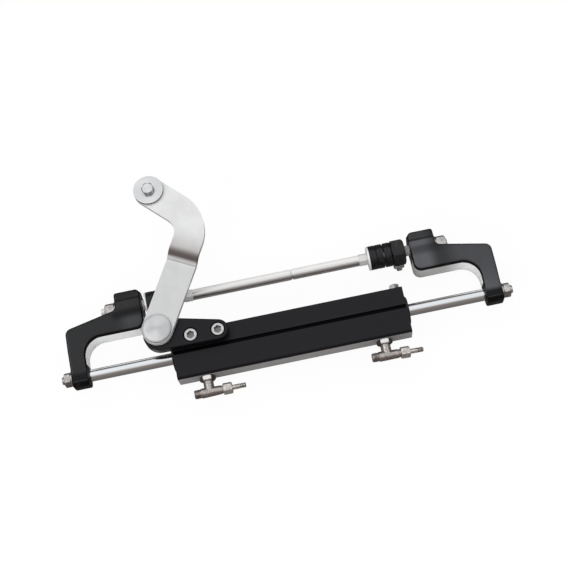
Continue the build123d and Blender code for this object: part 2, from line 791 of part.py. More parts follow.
def pivot_pin():
    """Shouldered pin screwed into the lug plate, with a wide shallow domed head."""
    thread = pin_thread_dia / 2
    shank = pin_dia / 2
    head = pin_head_dia / 2
    under = link_low_top + face_gap
    edge = under + pin_head_edge
    crown = edge + pin_head_rise
    foot = body_top + loose_gap
    dome_edge = head - pin_head_rim
    pin = turned([
        (0, foot), (thread - thread_bevel, foot), (thread, foot + thread_bevel), (thread, lug_top),
        (shank, lug_top), (shank, under), (head, under), (head, edge - pin_head_bevel),
        (head - pin_head_bevel, edge), (dome_edge, edge), (dome_edge, crown), (0, crown)])
    dome_radius = (dome_edge ** 2 + pin_head_rise ** 2) / (2 * pin_head_rise)
    low_part = Pos(0, 0, edge / 2) * Box(2 * pin_head_dia, 2 * pin_head_dia, edge)
    dome = Pos(0, 0, crown - dome_radius) * Sphere(dome_radius)
    return Pos(pivot_x, pivot_y, 0) * (pin & (low_part + dome))


def pivot_thrust_washer():
    """Thin plastic washer between the lug plate and the link arm."""
    return turned(ring(thrust_washer_dia / 2, pin_dia / 2 + running_gap,
                       lug_top, link_low - face_gap), (pivot_x, pivot_y, 0))


def pivot_bush():
    """Plastic bush in the link arm's lower eye, running on the pin."""
    inner = pin_dia / 2 + running_gap
    return turned(straight(inner + pivot_bush_wall, link_low, link_low_top, inner),
                  (pivot_x, pivot_y, 0))


def link_plan():
    """Plan of the link arm: two straight runs of flat bar and a round elbow between."""
    half = bar_width / 2
    turn = math.radians(link_upper_angle - link_lower_angle) / 2
    middle = Vector(1, 0, 0).rotate(Axis.Z, (link_lower_angle + link_upper_angle) / 2 - 90)
    side = Vector(1, 0, 0).rotate(Axis.Z, link_lower_angle - 90)
    upper_side = Vector(1, 0, 0).rotate(Axis.Z, link_upper_angle - 90)
    pivot = Vector(pivot_x, pivot_y, 0)
    mitre = middle * (half / math.cos(turn))
    corners = [(pivot + side * half, 0.0), (elbow + mitre, elbow_radius + half),
               (tiller + upper_side * half, 0.0), (tiller - upper_side * half, 0.0),
               (elbow - mitre, elbow_radius - half), (pivot - side * half, 0.0)]
    bar = rounded_outline([(point.X, point.Y, radius) for point, radius in corners])
    ends = Pos(pivot_x, pivot_y) * Circle(half) + Pos(tiller.X, tiller.Y) * Circle(half)
    return bar + ends


def link_side():
    """Link arm seen from its edge: flat bar that steps up once between two bends."""
    run = joggle_rise / math.tan(math.radians(joggle_angle))
    shift = bar_thick * math.tan(math.radians(joggle_angle / 2))
    before = -bar_width
    after = link_lower_length + link_upper_length + bar_width
    first = joggle_start
    second = joggle_start + run
    return rounded_outline([
        (before, link_low, 0.0),
        (first + shift, link_low, joggle_low_radius + bar_thick),
        (second + shift, link_high, joggle_high_radius - bar_thick),
        (after, link_high, 0.0),
        (after, link_high_top, 0.0),
        (second, link_high_top, joggle_high_radius),
        (first, link_low_top, joggle_low_radius),
        (before, link_low_top, 0.0),
    ])


def link_arm():
    """Bent flat bar from the cylinder's lug to the motor's tiller."""
    plan = extrude(Pos(0, 0, link_low) * link_plan(), link_high_top - link_low)
    across = Vector(1, 0, 0).rotate(Axis.Z, link_lower_angle + 90)
    reach = link_lower_length + link_upper_length
    side_plane = Plane(origin=Vector(pivot_x, pivot_y, 0), x_dir=lower_dir, z_dir=-across)
    side = extrude(side_plane * link_side(), amount=reach, both=True)
    arm = plan & side
    eye = pin_dia / 2 + running_gap + pivot_bush_wall
    arm -= turned(straight(eye, link_low - cut_past, link_low_top + cut_past), (pivot_x, pivot_y, 0))
    small_eye = tiller_bolt_dia / 2 + running_gap + tiller_bush_wall
    arm -= turned(straight(small_eye, link_high - cut_past, link_high_top + cut_past),
                  (tiller.X, tiller.Y, 0))
    return arm


def tiller_bush():
    """Flanged plastic bush in the link arm's upper eye."""
    inner = tiller_bolt_dia / 2 + running_gap
    outer = inner + tiller_bush_wall
    flange = tiller_flange_dia / 2
    foot = link_high - tiller_flange_thick
    return turned([(inner, foot), (flange, foot), (flange, link_high), (outer, link_high),
                   (outer, link_high_top), (inner, link_high_top)], (tiller.X, tiller.Y, 0))


washer_low = link_high_top + face_gap
washer_top = washer_low + tiller_washer_thick
tiller_free_end = link_high - tiller_flange_thick - tiller_grip
tiller_nut_top = tiller_free_end - tiller_low_washer_thick
tiller_bolt_end = tiller_nut_top - tiller_nut_height - tiller_past_nut


def tiller_bolt():
    """Hexagon bolt through the link arm that fastens the motor's tiller below it."""
    shank = turned(rod(tiller_bolt_dia / 2, tiller_bolt_end, washer_top + tiller_head_height / 2,
                       thread_bevel), (tiller.X, tiller.Y, 0))
    head = hexagon(tiller_head_flats, tiller_head_height, (tiller.X, tiller.Y, washer_top),
                   (0, 0, 1), (1, 0, 0))
    return shank + head


def tiller_washer():
    """Wide washer under the tiller bolt's head."""
    return turned(ring(tiller_washer_dia / 2, tiller_bolt_dia / 2, washer_low, washer_top),
                  (tiller.X, tiller.Y, 0))


def tiller_low_washer():
    """Plain washer above the lock nut."""
    return turned(ring(tiller_low_washer_dia / 2, tiller_bolt_dia / 2, tiller_nut_top,
                       tiller_free_end), (tiller.X, tiller.Y, 0))


def tiller_lock_nut():
    """Lock nut on the tiller bolt: a hexagon with a round collar at its lower end."""
    low = tiller_nut_top - tiller_nut_height
    collar_top = low + tiller_nut_collar
    nut = hexagon(tiller_head_flats, tiller_nut_height - tiller_nut_collar,
                  (tiller.X, tiller.Y, collar_top), (0, 0, 1), (1, 0, 0), tiller_bolt_dia)
    return nut + turned(ring(tiller_head_flats / 2 - tiller_collar_step, tiller_bolt_dia / 2, low,
                             collar_top), (tiller.X, tiller.Y, 0))


arm_right = right_arm()
left_washers, left_rings = left_spacers()
pieces = {
    "left_arm": mirror(arm_right, Plane.YZ),
    "right_arm": arm_right,
    "tilt_rod_left": tilt_rod_left(),
    "tilt_rod_right": tilt_rod_right(),
    "tilt_end_washers": tilt_end_washers(),
    "tilt_end_nuts": tilt_end_nuts(),
    "piston_rod": piston_rod(),
    "rod_end_washers": rod_end_washers(),
    "rod_end_nuts": rod_end_nuts(),
    "piston": piston(),
    "piston_seal": piston_seal(),
    "piston_snap_rings": snap_rings(),
    "outer_spacer_ring": spacer(third_ring_start + face_gap, spacer_width - face_gap),
    "left_spacer_washers": left_washers,
    "left_spacer_rings": left_rings,
    "right_spacer_washer": spacer(right_washer_start, spacer_washer_thick - face_gap),
    "right_spacer_rings": right_sliding_rings(),
    "adjusting_nut": adjusting_nut(),
    "adjusting_nut_bolt": adjusting_nut_bolt(),
    "cylinder_body": cylinder_body(),
    "left_gland": gland(body_left, -1),
    "right_gland": gland(body_right, 1),
    "rod_seals": rod_seals(),
    "rod_wipers": rod_wipers(),
    "gland_o_rings": gland_o_rings(),
    "gland_lock_screws": gland_lock_screws(),
    "port_adapters": port_adapters(),
    "left_tee": tee(port_places[0]),
    "right_tee": lifted(tee(port_places[1])),
    "left_bleed_screw": bleed_screw(port_places[0]),
    "right_bleed_screw": lifted(bleed_screw(port_places[1])),
    "lug_plate": lug_plate(),
    "lug_screws": lug_screws(),
    "pivot_pin": pivot_pin(),
    "pivot_thrust_washer": pivot_thrust_washer(),
    "pivot_bush": pivot_bush(),
    "link_arm": link_arm(),
    "tiller_bush": tiller_bush(),
    "tiller_bolt": tiller_bolt(),
    "tiller_washer": tiller_washer(),
    "tiller_low_washer": tiller_low_washer(),
    "tiller_lock_nut": tiller_lock_nut(),
}

os.makedirs("parts", exist_ok=True)
for name, piece in pieces.items():
    export_step(piece, f"parts/{name}.step")
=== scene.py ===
import json
import math
import bmesh
import bpy
import numpy as np
from mathutils import Matrix, Vector


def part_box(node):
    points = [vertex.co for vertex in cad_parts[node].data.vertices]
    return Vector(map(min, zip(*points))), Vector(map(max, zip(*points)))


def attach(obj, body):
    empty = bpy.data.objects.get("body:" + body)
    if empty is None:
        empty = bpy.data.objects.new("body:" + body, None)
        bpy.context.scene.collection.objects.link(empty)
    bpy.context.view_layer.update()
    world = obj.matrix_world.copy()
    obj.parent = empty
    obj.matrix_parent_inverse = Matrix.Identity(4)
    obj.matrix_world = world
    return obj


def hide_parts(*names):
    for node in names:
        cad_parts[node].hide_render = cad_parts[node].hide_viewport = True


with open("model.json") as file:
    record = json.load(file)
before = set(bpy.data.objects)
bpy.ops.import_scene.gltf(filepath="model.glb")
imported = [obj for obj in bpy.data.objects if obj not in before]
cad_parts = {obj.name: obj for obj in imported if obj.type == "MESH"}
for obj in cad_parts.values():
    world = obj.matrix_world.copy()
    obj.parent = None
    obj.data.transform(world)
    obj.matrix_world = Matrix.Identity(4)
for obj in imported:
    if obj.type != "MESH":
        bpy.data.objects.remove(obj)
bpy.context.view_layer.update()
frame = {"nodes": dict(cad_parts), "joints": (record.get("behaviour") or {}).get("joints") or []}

node = frame["nodes"]


# The studio: a camera high in front of the cylinder, a pale floor that it lies on,
# and two large soft lamps, one above and behind it and one at its front left.

class Wire:
    """One output of a material's nodes. Arithmetic on it adds Math nodes."""

    def __init__(self, tree, socket):
        self.tree = tree
        self.socket = socket

    def add(self, kind, settings, values, output=0):
        """Add a node of a kind: its settings first, then its sockets' values or links."""
        made = self.tree.nodes.new("ShaderNode" + kind)
        for name, value in settings.items():
            setattr(made, name, value)
        for socket, value in values.items():
            if isinstance(value, Wire):
                self.tree.links.new(value.socket, made.inputs[socket])
            else:
                made.inputs[socket].default_value = value
        return Wire(self.tree, made.outputs[output]) if made.outputs else None

    def math(self, operation, *values):
        return self.add("Math", {"operation": operation}, dict(enumerate(values)))

    def __add__(self, other):
        return self.math("ADD", self, other)

    def __sub__(self, other):
        return self.math("SUBTRACT", self, other)

    def __mul__(self, other):
        return self.math("MULTIPLY", self, other)

    def __radd__(self, other):
        return self.math("ADD", other, self)

    def __rsub__(self, other):
        return self.math("SUBTRACT", other, self)

    def __rmul__(self, other):
        return self.math("MULTIPLY", other, self)

    def __abs__(self):
        return self.math("ABSOLUTE", self)

    def root(self):
        return self.math("SQRT", self)

    def least(self, other):
        """The smaller of this and another value."""
        return self.math("MINIMUM", self, other)

    def most(self, other):
        """The larger of this and another value."""
        return self.math("MAXIMUM", self, other)

    def above(self, low, high):
        """0 below low and 1 above high, with a smooth step between."""
        return self.add("MapRange", {"interpolation_type": "SMOOTHSTEP"},
                        {"Value": self, "From Min": low, "From Max": high})

    def between(self, rise, full, fade, gone):
        """0 up to rise, 1 from full to fade, and 0 again past gone, with smooth steps."""
        return self.above(rise, full) * (1 - self.above(fade, gone))

    def parts(self):
        """The three numbers of a vector."""
        made = self.add("SeparateXYZ", {}, {"Vector": self})
        return [Wire(self.tree, out) for out in made.socket.node.outputs]

    def blend(self, low, high):
        """Colour low where this is 0 and high where it is 1."""
        colours = [c if isinstance(c, Wire) else (*c, 1.0) for c in (low, high)]
        return self.add("Mix", {"data_type": "RGBA"}, {0: self, 6: colours[0], 7: colours[1]}, 2)


def light_path(start):
    """Three wires, 1 on a ray from the camera, a mirrored ray and a transmitted ray."""
    rays = start.add("LightPath", {}, {}).socket.node.outputs
    return [Wire(start.tree, rays[name])
            for name in ("Is Camera Ray", "Is Glossy Ray", "Is Transmission Ray")]


scene = bpy.context.scene
scene.view_settings.view_transform = "Standard"

# The camera's ways right, down and ahead come from its elevation and its roll.
elevation = math.radians(70)
roll = math.radians(11.65)
camera_distance = 1.6906
camera_right = 0.01716
camera_down = 0.01415
right = Vector((math.cos(roll), -math.sin(roll) * math.sin(elevation),
                -math.sin(roll) * math.cos(elevation)))
down = Vector((-math.sin(roll), -math.cos(roll) * math.sin(elevation),
               -math.cos(roll) * math.cos(elevation)))
ahead = Vector((0, math.cos(elevation), -math.sin(elevation)))
eye = right * camera_right + down * camera_down - ahead * camera_distance
camera = bpy.data.objects.new("camera", bpy.data.cameras.new("camera"))
camera.data.sensor_width = 36
camera.data.lens = 72.25
camera.data.clip_end = 50
camera.matrix_world = Matrix.Translation(eye) @ Matrix((right, -down, -ahead)).transposed().to_4x4()
scene.collection.objects.link(camera)
scene.camera = camera

# The floor glows white for the camera, with a trace of matt paint that keeps the shadow.
# Mirrors see it dark, and as light it is plain matt paint.
floor_z = -0.0262
floor_reach = 8
floor_mesh = bpy.data.meshes.new("floor")
floor_mesh.from_pydata([(x * floor_reach, y * floor_reach, floor_z)
                        for x, y in ((-1, -1), (1, -1), (1, 1), (-1, 1))], [], [(0, 1, 2, 3)])
floor = bpy.data.objects.new("floor", floor_mesh)
scene.collection.objects.link(floor)
floor_paint = bpy.data.materials.new("floor paint")
floor_paint.use_nodes = True
floor_paint.node_tree.nodes.clear()
start = Wire(floor_paint.node_tree, None)
camera_ray, mirrored, transmitted = light_path(start)
matt = start.add("BsdfDiffuse", {}, {"Color": (0.93, 0.93, 0.93, 1)})
floor_glow = mirrored.blend((1, 1, 1), (0.15, 0.14, 0.135))
glow = start.add("Emission", {}, {"Color": floor_glow, "Strength": 1.0})
seen = camera_ray * 0.95 + mirrored + transmitted * 0.93
start.add("OutputMaterial", {}, {"Surface": start.add("MixShader", {}, {0: seen, 1: matt, 2: glow})})
floor_mesh.materials.append(floor_paint)

# The world is white for the camera and as light, too even to need sampling. Mirrors see a
# dim room in it, lighter high up from its sides to its back, with a softbox high at the left.
world = bpy.data.worlds.new("studio")
world.use_nodes = True
world.cycles.sampling_method = "NONE"
scene.world = world
world.node_tree.nodes.clear()
start = Wire(world.node_tree, None)
camera_ray, mirrored = light_path(start)[:2]
side, depth, height = start.add("TexCoord", {}, {}, "Generated").parts()
behind = depth.above(-0.85, -0.1)
far_wall = depth.above(0.35, 0.95)
softbox = (side * -0.7 + depth * 0.25 + height * 0.67).above(0.9, 0.98)
room = (0.2 - 0.15 * far_wall
        + (0.67 * behind + 0.3 * far_wall + 0.9 * softbox) * height.above(0.35, 0.8))
level = camera_ray + (1 - camera_ray) * (mirrored * room + (1 - mirrored) * 0.94)
wall = mirrored.blend((1, 1, 1), behind.blend((1, 0.9, 0.84), (0.955, 0.975, 1)))
light = start.add("VectorMath", {"operation": "SCALE"}, {0: wall, "Scale": level})
sky = start.add("Background", {}, {"Color": light, "Strength": 1.0})
start.add("OutputWorld", {}, {"Surface": sky})


def lamp(name, place, size, power):
    """A square soft lamp that looks at the middle of the cylinder."""
    light = bpy.data.lights.new(name, "AREA")
    light.size = size
    light.energy = power
    shown = bpy.data.objects.new(name, light)
    shown.location = place
    shown.visible_glossy = False
    shown.rotation_euler = (-Vector(place)).to_track_quat("-Z", "Y").to_euler()
    scene.collection.objects.link(shown)


lamp("overhead lamp", (-0.9, 1.7, 1.9), 1.2, 7)
lamp("front lamp", (-1.3, -1.7, 1.4), 0.9, 14)


# Support arms: two castings that hold the piston rod in front of the tilt rod, coated gloss
# black, with the faces inside their bend left as bare satin metal below a rounded black rim.

def new_finish(name, slot, colour, roughness, metallic=0.0):
    """A material, its shader, a wire to start from, and its place on the object in millimetres."""
    material = bpy.data.materials.new(name)
    material.use_nodes = True
    material["slot"] = slot
    shader = material.node_tree.nodes["Principled BSDF"]
    shader.inputs["Base Color"].default_value = (*colour, 1.0)
    shader.inputs["Roughness"].default_value = roughness
    shader.inputs["Metallic"].default_value = metallic
    start = Wire(material.node_tree, None)
    place = start.add("TexCoord", {}, {}, "Object")
    place = start.add("VectorMath", {"operation": "SCALE"}, {0: place, "Scale": 1000.0})
    return material, shader, start, place


def connect(shader, **wires):
    """Join wires to the shader's sockets of those names."""
    for name, wire in wires.items():
        socket = shader.inputs[name.replace("_", " ")]
        shader.id_data.links.new(wire.socket, socket)


def grain(start, place, size, detail=3.0, stretch=(1, 1, 1)):
    """Fine noise from 0 to 1, whose grains are about size millimetres, stretched along an axis."""
    scaled = start.add("VectorMath", {"operation": "MULTIPLY"},
                       {0: place, 1: tuple(1 / (size * s) for s in stretch)})
    return start.add("TexNoise", {}, {"Vector": scaled, "Scale": 1.0, "Detail": detail})


def relief(start, height, depth, softened=None):
    """Normal of a surface, or of its softened edges, whose height goes up by depth millimetres."""
    below = {"Normal": softened} if softened else {}
    return start.add("Bump", {}, {"Height": height, "Distance": depth / 1000, "Strength": 1.0, **below})


def off_round_corner(ahead, aside, radius):
    """Distance to a face round a corner: the root of ahead^2 + aside^2, each at least 0, less radius."""
    ahead, aside = ahead.most(0.0), aside.most(0.0)
    return abs((ahead * ahead + aside * aside).root() - radius)


def paint(objects, material):
    """Give CAD pieces one material."""
    for piece in objects:
        piece.data.materials.clear()
        piece.data.materials.append(material)


def lowest(name, axis):
    """Smallest x, y or z of a CAD node, in millimetres to a hundredth."""
    return round(1000 * float(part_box(name)[0]["xyz".index(axis)]), 2)


def highest(name, axis):
    """Largest x, y or z of a CAD node, in millimetres to a hundredth."""
    return round(1000 * float(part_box(name)[1]["xyz".index(axis)]), 2)


inner_face = 39.2
leg_face = 290.0
bend = 26.0
block_face = lowest("right_arm", "x")
nose = 11.0
arm_top = 20.0
leg_outer = 294.5
rim_height = 12.2
low_rim = -16.0
low_step = 3.4
boss_front = -75.0
taper_start = 52.0
taper_slope = 0.128
taper_depth = 4.5
satin_metal = (0.95, 0.955, 0.96)
painted_shade_metal = (0.47, 0.47, 0.46)
deep_black = (0.0022, 0.0022, 0.0027)
dust_and_highlight_black = (0.04, 0.04, 0.045)
painted_highlight_grey = (0.074, 0.075, 0.084)
coat, shader, start, place = new_finish("gloss black coat", "black_casting", (0.009, 0.0085, 0.0105), 0.28)
shader.inputs["Specular IOR Level"].default_value = 0.12
shader.inputs["Coat Roughness"].default_value = 0.12
sideways, along, up = place.parts()
across = abs(sideways)
forward = 0.0 - along
on_right = sideways.above(100.0, 190.0)

# Bare metal on the faces inside the bend and round the block's nose, below a ragged rim.
ragged = grain(start, place, 2.5)
off_bend = off_round_corner(across - (leg_face - bend), along + (inner_face + bend), bend)
off_nose = off_round_corner(block_face + nose - across, nose - inner_face - along, nose)
off_face = off_bend.least(off_nose) - low_step * (1 - up.above(low_rim - 0.5, low_rim + 0.5))
below_rim = 1 - (up + ragged * 0.9).above(rim_height - 0.6, rim_height + 0.6)
before_boss = (along + ragged).above(boss_front - 1.0, boss_front + 1.5)
front_part = 1 - (along + ragged * 3).above(-22.0, -16.0)
inside_leg = 1 - across.above(leg_outer - 0.5, leg_outer + 0.5)
bare = (1 - off_face.above(0.35, 0.75)) * below_rim * before_boss * front_part * inside_leg
# The right arm's bare metal, short of its elbow, is painted darker than the left's: painted shade.
metal = (on_right * (1 - across.above(238.0, 280.0))).blend(satin_metal, painted_shade_metal)

# Black coat with real dust, a lighter line along its top edge that is a painted highlight broken up like
# wear, and grey painted highlights in patches, stronger where its top is not quite flat.
orange_peel = grain(start, place, 1.6, 2.0)
dust = grain(start, place, 14.0, 5.0)
waves = grain(start, place, 34.0, 1.0)
tapered = ((forward - taper_start).most(0.0) * taper_slope).least(taper_depth)
below_top = arm_top - tapered - up
top_side = 1 - below_top.above(0.1, 1.9)
# A thin lighter line just inside the top edge: a painted highlight, broken up like wear.
edge_highlight_line = below_top.between(0.16, 0.3, 0.4, 0.8) * ragged.above(0.3, 0.6)
valley = (forward + 4.5 * on_right).between(5.0, 11.0, 15.0, 25.0) * (1 - across.above(236.0, 250.0))
tip = 1 - along.above(-92.0, -84.0)
crease = along.between(4.0, 6.0, 8.5, 10.5)
back_part = along.above(8.5, 11.0)
patch = 1 - across.above(217.0, 238.0)
elbow = across.above(243.0, 266.0) * (0.36 + 0.36 * forward.above(50.0, 86.0))
# Painted highlight: grey sheen on the black top beside the right arm's block, at its elbow and at the left
# arm's front, kept off the crease, back, valley and tip.
painted_highlight_mask = on_right * (0.1 + 0.9 * patch + elbow) + (1 - on_right) * 0.36 * patch * forward.above(12.0, 22.0)
painted_highlight_mask = painted_highlight_mask * (1 - 0.85 * crease) * (1 - 0.7 * back_part) * (1 - 0.5 * valley) * (1 - tip) * top_side
dimmed = ((1 - 0.9 * tip) * (1 - (0.8 - 0.35 * on_right) * valley)
          * (1 - 0.5 * crease) * (1 - 0.35 * back_part))
black = (edge_highlight_line * 0.7 + 0.25 * dust.above(0.55, 0.8)).blend(deep_black, dust_and_highlight_black)
black = (painted_highlight_mask * (0.55 + 0.9 * waves)).blend(black, painted_highlight_grey)
soft_edges = start.add("Bevel", {"samples": 8}, {"Radius": 0.012})
cast = relief(start, waves, 2.2, soft_edges)
connect(shader,
        Base_Color=bare.blend(black, metal),
        Metallic=bare * 0.08,
        Roughness=0.3 + 0.08 * dust + bare * 0.12,
        Coat_Weight=(1 - bare) * (0.12 + 0.68 * top_side * dimmed),
        Normal=relief(start, orange_peel, 0.012, cast))
paint([node["left_arm"], node["right_arm"]], coat)


# Tilt rod: two halves of ground stainless bar screwed together in the middle, each with
# a hexagon for a wrench, and with rolled threads at the ends for the nuts.

def rounded(corners, radius, steps=4):
    """Profile whose inner corners are rounded off.

    Round a corner p the points are (1-t)^2 (p + d u) + 2t(1-t) p + t^2 (p + d v),
    where u and v point to its neighbours and d is the radius, or 0.45 of a short side.
    """
    p = np.asarray(corners, float)
    back = p[:-2] - p[1:-1]
    on = p[2:] - p[1:-1]
    back_length = np.linalg.norm(back, axis=1, keepdims=True)
    on_length = np.linalg.norm(on, axis=1, keepdims=True)
    reach = np.minimum(radius, 0.45 * np.minimum(back_length, on_length))
    first = (p[1:-1] + back / back_length * reach)[:, None]
    last = (p[1:-1] + on / on_length * reach)[:, None]
    t = np.linspace(0, 1, steps)[None, :, None]
    curve = (1 - t) ** 2 * first + 2 * t * (1 - t) * p[1:-1, None] + t ** 2 * last
    return np.vstack([p[:1], curve.reshape(-1, 2), p[-1:]])


def turned(profile, columns=60):
    """Rows of points round +Z: x = r cos a, y = r sin a, z = height, for each (r, height)."""
    angle = np.linspace(0, 2 * np.pi, columns, endpoint=False)
    radius, height = np.asarray(profile, float).T
    return np.stack([np.outer(radius, np.cos(angle)), np.outer(radius, np.sin(angle)),
                     np.outer(height, np.ones(columns))], -1)


def threaded(radius, start, end, pitch, depth, columns=60, steps=8):
    """Rows of a screw thread round +Z.

    r = radius - depth |2 f - 1|, with f the fraction of (height / pitch - angle / 2 pi),
    and the thread runs out over one pitch at each end.
    """
    rows = int(abs(end - start) / pitch * steps) + 1
    height = np.linspace(start, end, rows)[:, None]
    angle = np.linspace(0, 2 * np.pi, columns, endpoint=False)[None, :]
    wave = np.abs(2 * ((height / pitch - angle / (2 * np.pi)) % 1) - 1)
    low, high = min(start, end), max(start, end)
    inside = np.clip(np.minimum(height - low, high - height) / pitch, 0, 1)
    r = radius - depth * (wave * inside + (1 - inside))
    return np.stack([r * np.cos(angle), r * np.sin(angle), height + 0 * angle], -1)


def to_flat(flats, angle):
    """Distance from a hexagon's middle to its edge: (flats / 2) / cos(angle to the nearest flat)."""
    return flats / 2 / np.cos((angle + np.pi / 6) % (np.pi / 3) - np.pi / 6)


def hexagon(flats, start, end, bore, columns=60, turn=0.0):
    """Rows of a hexagon bar round +Z, both ends turned to a cone: r is the smaller of cone and flat."""
    corner = flats / math.sqrt(3)
    face_radius = 0.46 * flats
    cone = corner - face_radius
    drop = cone * 0.55
    t = np.linspace(0, 1, 6)
    radius = np.concatenate([[bore], face_radius + cone * t, corner - cone * t, [bore]])
    height = np.concatenate([[start], start + drop * t, end - drop + drop * t, [end]])
    rows = turned(np.stack([radius, height], 1), columns)
    flat = to_flat(flats, np.linspace(0, 2 * np.pi, columns, endpoint=False) - turn)
    scale = np.minimum(1, flat[None, :] / np.maximum(radius[:, None], 1e-9))
    rows[..., :2] *= scale[..., None]
    return rows


def along_x(rows, y=0.0, z=0.0):
    """Rows made round +Z, laid along +X through (y, z), in millimetres."""
    return np.stack([rows[..., 2], rows[..., 0] + y, rows[..., 1] + z], -1)


def skin(name, groups, material, body, nodes):
    """One smooth mesh from groups of closed rows, given in millimetres, in place of CAD nodes."""
    points, faces, offset = [], [], 0
    for rows in groups:
        count, columns = rows.shape[:2]
        i = np.arange(count - 1)[:, None] * columns
        j = np.arange(columns)[None, :]
        k = (j + 1) % columns
        faces.append(offset + np.stack([i + j, i + k, i + columns + k, i + columns + j], -1).reshape(-1, 4))
        points.append(rows.reshape(-1, 3))
        offset += count * columns
    mesh = bpy.data.meshes.new(name)
    mesh.from_pydata((np.concatenate(points) / 1000).tolist(), [], np.concatenate(faces).tolist())
    shape = bmesh.new()
    shape.from_mesh(mesh)
    bmesh.ops.remove_doubles(shape, verts=shape.verts, dist=1e-6)
    bmesh.ops.dissolve_degenerate(shape, edges=shape.edges, dist=1e-7)
    bmesh.ops.recalc_face_normals(shape, faces=shape.faces)
    shape.to_mesh(mesh)
    shape.free()
    mesh.polygons.foreach_set("use_smooth", [True] * len(mesh.polygons))
    mesh.set_sharp_from_angle(angle=math.radians(27))
    mesh.materials.append(material)
    piece = bpy.data.objects.new(name, mesh)
    scene.collection.objects.link(piece)
    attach(piece, body)
    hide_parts(*nodes)


tilt_radius = 7.95
stub_radius = 7.0
stub_thread = {"pitch": 1.5, "depth": 0.8}
left_tilt_end = lowest("tilt_rod_left", "x")
right_tilt_end = highest("tilt_rod_right", "x")
wide_thread = {"pitch": 1.5, "depth": 0.6}
wide_thread_length = 8
wrench_end = 137.0
wrench_length = 13.0
wrench_flats = 2 * highest("tilt_rod_left", "z")
wrench_bore = tilt_radius - 0.5
joint = lowest("tilt_rod_right", "x")
joint_bevel = 1.6
corner_up = math.radians(30)

# Ground bar, milled and less of a mirror on its hexagons and past 188 mm, and dull at the back.
ground, shader, start, place = new_finish("ground stainless bar", "ground_rod", (0.74, 0.735, 0.73), 0.2, 1.0)
sideways, along = place.parts()[:2]
rings = grain(start, place, 0.5, 3.0, (0.4, 30, 30))
smears = grain(start, place, 9.0, 4.0, (3, 1, 1))
from_middle = abs(sideways)
wrench_half = wrench_length / 2
off_wrench = abs(from_middle - (wrench_end - wrench_half)).above(wrench_half - 0.1, wrench_half + 0.1)
milled = 1 - off_wrench + from_middle.above(188.0, 189.0)
dulled = along.above(-0.5, 2.0)
ground_tone = smears.blend((0.86, 0.845, 0.83), (0.95, 0.935, 0.92))
# The milled parts on the left are painted much lighter than those on the right: painted light against the
# shade there.
milled_tone_with_painted_light = sideways.above(-100.0, 100.0).blend((0.98, 0.975, 0.97), (0.72, 0.715, 0.71))
connect(shader,
        Roughness=0.24 + 0.1 * smears + 0.05 * rings + 0.11 * milled,
        Metallic=0.93 - 0.6 * milled - 0.75 * dulled * (1 - milled),
        Base_Color=milled.blend(ground_tone, milled_tone_with_painted_light),
        Normal=relief(start, rings, 0.003))
left_half = np.concatenate([
    turned([(0, left_tilt_end), (stub_radius - 1, left_tilt_end)]),
    threaded(stub_radius, left_tilt_end + 0.3, -block_face, **stub_thread),
    turned(rounded([(stub_radius - 0.8, -block_face), (tilt_radius, -block_face),
                    (tilt_radius, -wrench_end), (tilt_radius, joint - joint_bevel),
                    (tilt_radius - joint_bevel, joint), (0, joint)], 0.4))])
right_half = np.concatenate([
    turned(rounded([(0, joint), (tilt_radius - joint_bevel, joint), (tilt_radius, joint + joint_bevel),
                    (tilt_radius, block_face - wide_thread_length)], 0.4)),
    threaded(tilt_radius, block_face - wide_thread_length, block_face, **wide_thread),
    threaded(stub_radius, block_face, right_tilt_end - 0.3, **stub_thread),
    turned([(stub_radius - 1, right_tilt_end), (0, right_tilt_end)])])
wrench_starts = (-wrench_end, wrench_end - wrench_length)
for side_name, half, wrench_start in zip(("left", "right"), (left_half, right_half), wrench_starts):
    wrench = hexagon(wrench_flats, wrench_start, wrench_start + wrench_length, wrench_bore, turn=corner_up)
    skin("tilt_rod_" + side_name + "_bar", [along_x(half), along_x(wrench)],
         ground, "carrier", ["tilt_rod_" + side_name])


# End nuts and washers: stainless hexagon nuts on plain washers, which clamp the arms
# against the shoulders of the tilt rod and of the piston rod.

bright, shader, start, place = new_finish(
    "bright stainless", "stainless_fastener", (0.7, 0.69, 0.68), 0.26, 1.0)
marks = grain(start, place, 0.7, 4.0)
stains = grain(start, place, 6.0, 4.0)
connect(shader,
        Roughness=0.18 + 0.2 * stains,
        Base_Color=stains.above(0.3, 0.7).blend((0.46, 0.43, 0.41), (0.69, 0.67, 0.65)),
        Normal=relief(start, marks, 0.006))


def both_sides(rows):
    """The same rows on the right and mirrored on the left."""
    return [rows, rows * np.array([-1.0, 1.0, 1.0])]


def washer(outer, inner, start, end, bevel=0.35):
    """Rows of a flat ring with its outer corners rounded, closed through its hole."""
    outline = [(inner, start), (outer, start), (outer, end), (inner, end), (inner, start)]
    return turned(rounded(outline, bevel))


def clamp(name, stub, y=0.0):
    """A washer on the outer face of each arm and a nut on it, on the rod's stub at y."""
    washers, nuts = name + "_washers", name + "_nuts"
    face = highest(washers, "x")
    flat_ring = washer(highest(washers, "z"), stub, face - end_washer_thickness, face)
    skin(name + "_washer_pair", both_sides(along_x(flat_ring, y)), bright, "carrier", [washers])
    nut = hexagon(2 * highest(nuts, "z"), face, highest(nuts, "x"), stub, turn=corner_up)
    skin(name + "_nut_pair", both_sides(along_x(nut, y)), bright, "carrier", [nuts])


def centre(name, axis):
    """Half way between the smallest and the largest x, y or z of a CAD node, in millimetres."""
    return (lowest(name, axis) + highest(name, axis)) / 2


end_washer_thickness = 2.5
rod_axis = centre("left_gland", "y")
rod_stub = 6.0
clamp("tilt_end", stub_radius)
clamp("rod_end", rod_stub, rod_axis)


# Spacers on the tilt rod: thick black plastic rings between thin plain washers, loose
# enough to slide, which fill the room beside the motor's tilt tube.

